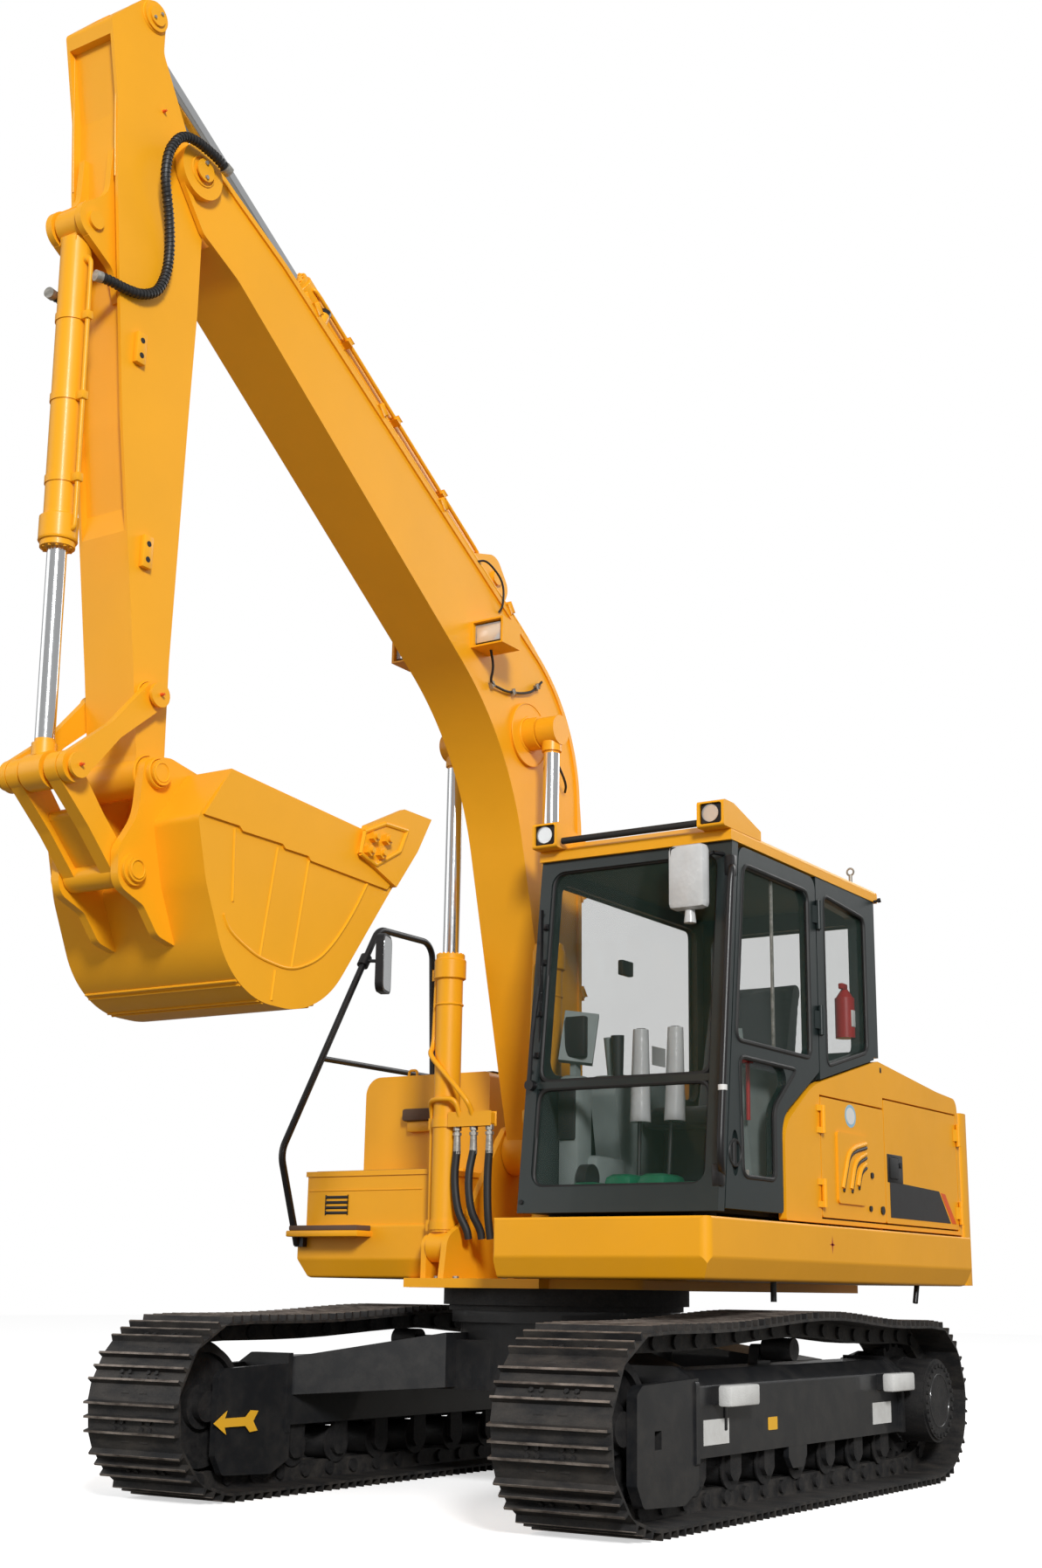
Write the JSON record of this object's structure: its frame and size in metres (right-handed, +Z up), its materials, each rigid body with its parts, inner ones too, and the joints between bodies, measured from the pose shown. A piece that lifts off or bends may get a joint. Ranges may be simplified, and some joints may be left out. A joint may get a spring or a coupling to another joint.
{
  "type": "crawler excavator",
  "caption": "Hydraulic crawler excavator with slewing upper, left-hand cab, raised boom, hanging arm and a bucket on a pin linkage.",
  "frame": {"origin": "on the ground, under the middle of the machine's overall box at rest", "axes": "+X towards the machine's left, where the cab is; -Y towards the front, where the boom reaches; +Z up"},
  "size_m": [2.515, 5.648, 5.6534],
  "materials": {
    "machine_yellow": "semi-gloss enamel, worn and dusty",
    "undercarriage_paint": "semi-gloss black enamel",
    "cab_charcoal": "satin charcoal enamel",
    "track_steel": "worn bare steel with brown dust",
    "running_gear": "oily dark steel",
    "rail_black": "black enamel",
    "rod_chrome": "polished hard chrome",
    "bucket_steel": "enamel worn to steel at the edges",
    "floor_plate": "dull black enamel",
    "glazing": "clear tinted safety glass",
    "engine_grey": "painted casting",
    "seat_cloth": "woven seat cloth",
    "seat_steel": "black enamel",
    "console_plastic": "grained moulding"
  },
  "bodies": {
    "undercarriage": {"track_left": "track_steel", "track_right": "track_steel", "track_frame_left": "undercarriage_paint", "track_frame_right": "undercarriage_paint", "front_idlers": "running_gear", "final_drives": "running_gear", "track_rollers": "running_gear", "carbody": "undercarriage_paint", "slewing_ring": "running_gear"},
    "upper": {"upper_frame": "machine_yellow", "left_deck": "machine_yellow", "right_deck": "machine_yellow", "counterweight": "machine_yellow", "engine_block": "engine_grey", "bulkhead": "rail_black", "left_cover": "machine_yellow", "right_cover": "machine_yellow", "fuel_tank": "machine_yellow", "tool_box": "machine_yellow", "handrail": "rail_black", "mirrors": "rail_black", "cab_front_frame": "cab_charcoal", "cab_right_wall": "cab_charcoal", "cab_left_rear_wall": "cab_charcoal", "cab_rear_wall": "cab_charcoal", "cab_floor": "floor_plate", "cab_roof": "machine_yellow", "cab_glass": "glazing", "seat_base": "seat_steel", "seat_cushions": "seat_cloth", "consoles": "console_plastic", "travel_levers": "console_plastic", "monitor": "console_plastic", "lifting_lugs": "machine_yellow"},
    "cab_door": {"cab_door": "cab_charcoal", "door_glass": "glazing"},
    "engine_hood": {"engine_hood": "machine_yellow"},
    "left_door_front": {"left_door_front": "machine_yellow"},
    "left_door_rear": {"left_door_rear": "machine_yellow"},
    "right_door": {"right_door": "machine_yellow"},
    "tool_box_lid": {"tool_box_lid": "machine_yellow"},
    "boom": {"boom": "machine_yellow", "boom_lamps": "machine_yellow"},
    "boom_cylinder_barrels": {"boom_cylinder_barrel_left": "machine_yellow", "boom_cylinder_barrel_right": "machine_yellow"},
    "boom_cylinder_rods": {"boom_cylinder_rod_left": "rod_chrome", "boom_cylinder_rod_right": "rod_chrome"},
    "arm_cylinder_barrel": {"arm_cylinder_barrel": "machine_yellow"},
    "arm_cylinder_rod": {"arm_cylinder_rod": "rod_chrome"},
    "arm": {"arm": "machine_yellow"},
    "bucket_cylinder_barrel": {"bucket_cylinder_barrel": "machine_yellow"},
    "bucket_cylinder_rod": {"bucket_cylinder_rod": "rod_chrome"},
    "rocker": {"rocker_arms": "machine_yellow"},
    "link": {"bucket_link": "machine_yellow"},
    "bucket": {"bucket": "machine_yellow", "bucket_teeth": "bucket_steel"}
  },
  "joints": [
    {"name": "swing", "type": "hinge", "parent": "undercarriage", "child": "upper", "pos_m": [0.0075, 0.58908, 0.88], "axis": [0, 0, 1], "continuous": true},
    {"name": "boom_lift", "type": "hinge", "parent": "upper", "child": "boom", "pos_m": [-0.0925, 0.53908, 1.48], "axis": [-1, 0, 0], "range_deg": [-97, 12.5]},
    {"name": "arm_crowd", "type": "hinge", "parent": "boom", "child": "arm", "pos_m": [-0.0925, -2.29211, 5.0393], "axis": [1, 0, 0], "range_deg": [-118, 4]},
    {"name": "bucket_curl", "type": "hinge", "parent": "arm", "child": "bucket", "pos_m": [-0.0925, -2.32013, 2.60746], "axis": [1, 0, 0], "range_deg": [-115, 40]},
    {"name": "boom_cylinder_swing", "type": "hinge", "parent": "upper", "child": "boom_cylinder_barrels", "pos_m": [-0.0925, 0.12908, 1.04], "axis": [-1, 0, 0], "range_deg": [-95.08, 12.69]},
    {"name": "boom_cylinder_stroke", "type": "slide", "parent": "boom_cylinder_barrels", "child": "boom_cylinder_rods", "axis": [0, 0.0016, 1], "range_m": [-0.8993, 0.1176]},
    {"name": "arm_cylinder_swing", "type": "hinge", "parent": "boom", "child": "arm_cylinder_barrel", "pos_m": [-0.0925, -0.10956, 4.09461], "axis": [1, 0, 0], "range_deg": [-4.63, 0.64]},
    {"name": "arm_cylinder_stroke", "type": "slide", "parent": "arm_cylinder_barrel", "child": "arm_cylinder_rod", "axis": [0, -0.8554, 0.5179], "range_m": [-1.0317, 0.0369]},
    {"name": "bucket_cylinder_swing", "type": "hinge", "parent": "arm", "child": "bucket_cylinder_barrel", "pos_m": [-0.0925, -2.74908, 4.61054], "axis": [1, 0, 0], "range_deg": [-6.25, 2.5]},
    {"name": "bucket_cylinder_stroke", "type": "slide", "parent": "bucket_cylinder_barrel", "child": "bucket_cylinder_rod", "axis": [0, 0.0233, -0.9997], "range_m": [-0.6242, 0.2184]},
    {"name": "rocker_swing", "type": "hinge", "parent": "arm", "child": "rocker", "pos_m": [-0.0925, -2.34287, 2.89074], "axis": [1, 0, 0], "range_deg": [-85.6, 30.1]},
    {"name": "link_swing", "type": "hinge", "parent": "rocker", "child": "link", "pos_m": [-0.0925, -2.70086, 2.54584], "axis": [1, 0, 0], "range_deg": [-17.3, 48.8]},
    {"name": "cab_door_hinge", "type": "hinge", "parent": "upper", "child": "cab_door", "pos_m": [1.2215, 0.77308, 2.28], "axis": [0, 0, 1], "range_deg": [0, 160]},
    {"name": "left_front_door_hinge", "type": "hinge", "parent": "upper", "child": "left_door_front", "pos_m": [1.2265, 0.75508, 1.44], "axis": [0, 0, -1], "range_deg": [0, 90]},
    {"name": "left_rear_door_hinge", "type": "hinge", "parent": "upper", "child": "left_door_rear", "pos_m": [1.2265, 2.43808, 1.455], "axis": [0, 0, 1], "range_deg": [0, 90]},
    {"name": "right_door_hinge", "type": "hinge", "parent": "upper", "child": "right_door", "pos_m": [-1.2115, 1.53508, 1.46], "axis": [0, 0, 1], "range_deg": [0, 90]},
    {"name": "hood_hinge", "type": "hinge", "parent": "upper", "child": "engine_hood", "pos_m": [0.0075, 1.58508, 1.795], "axis": [1, 0, 0], "range_deg": [0, 62]},
    {"name": "tool_box_lid_hinge", "type": "hinge", "parent": "upper", "child": "tool_box_lid", "pos_m": [-0.8375, 0.58908, 1.404], "axis": [-1, 0, 0], "range_deg": [0, 75]}
  ],
  "couplings": [
    {"joint": "boom_cylinder_swing", "follows": "boom_lift", "ratio": 0.975},
    {"joint": "boom_cylinder_stroke", "follows": "boom_lift", "m_per_rad": 0.53},
    {"joint": "arm_cylinder_swing", "follows": "arm_crowd", "ratio": 0.035},
    {"joint": "arm_cylinder_stroke", "follows": "arm_crowd", "m_per_rad": 0.5},
    {"joint": "bucket_cylinder_swing", "follows": "bucket_curl", "ratio": 0.05},
    {"joint": "bucket_cylinder_stroke", "follows": "bucket_curl", "m_per_rad": 0.31},
    {"joint": "rocker_swing", "follows": "bucket_curl", "ratio": 0.74},
    {"joint": "link_swing", "follows": "bucket_curl", "ratio": -0.42}
  ]
}
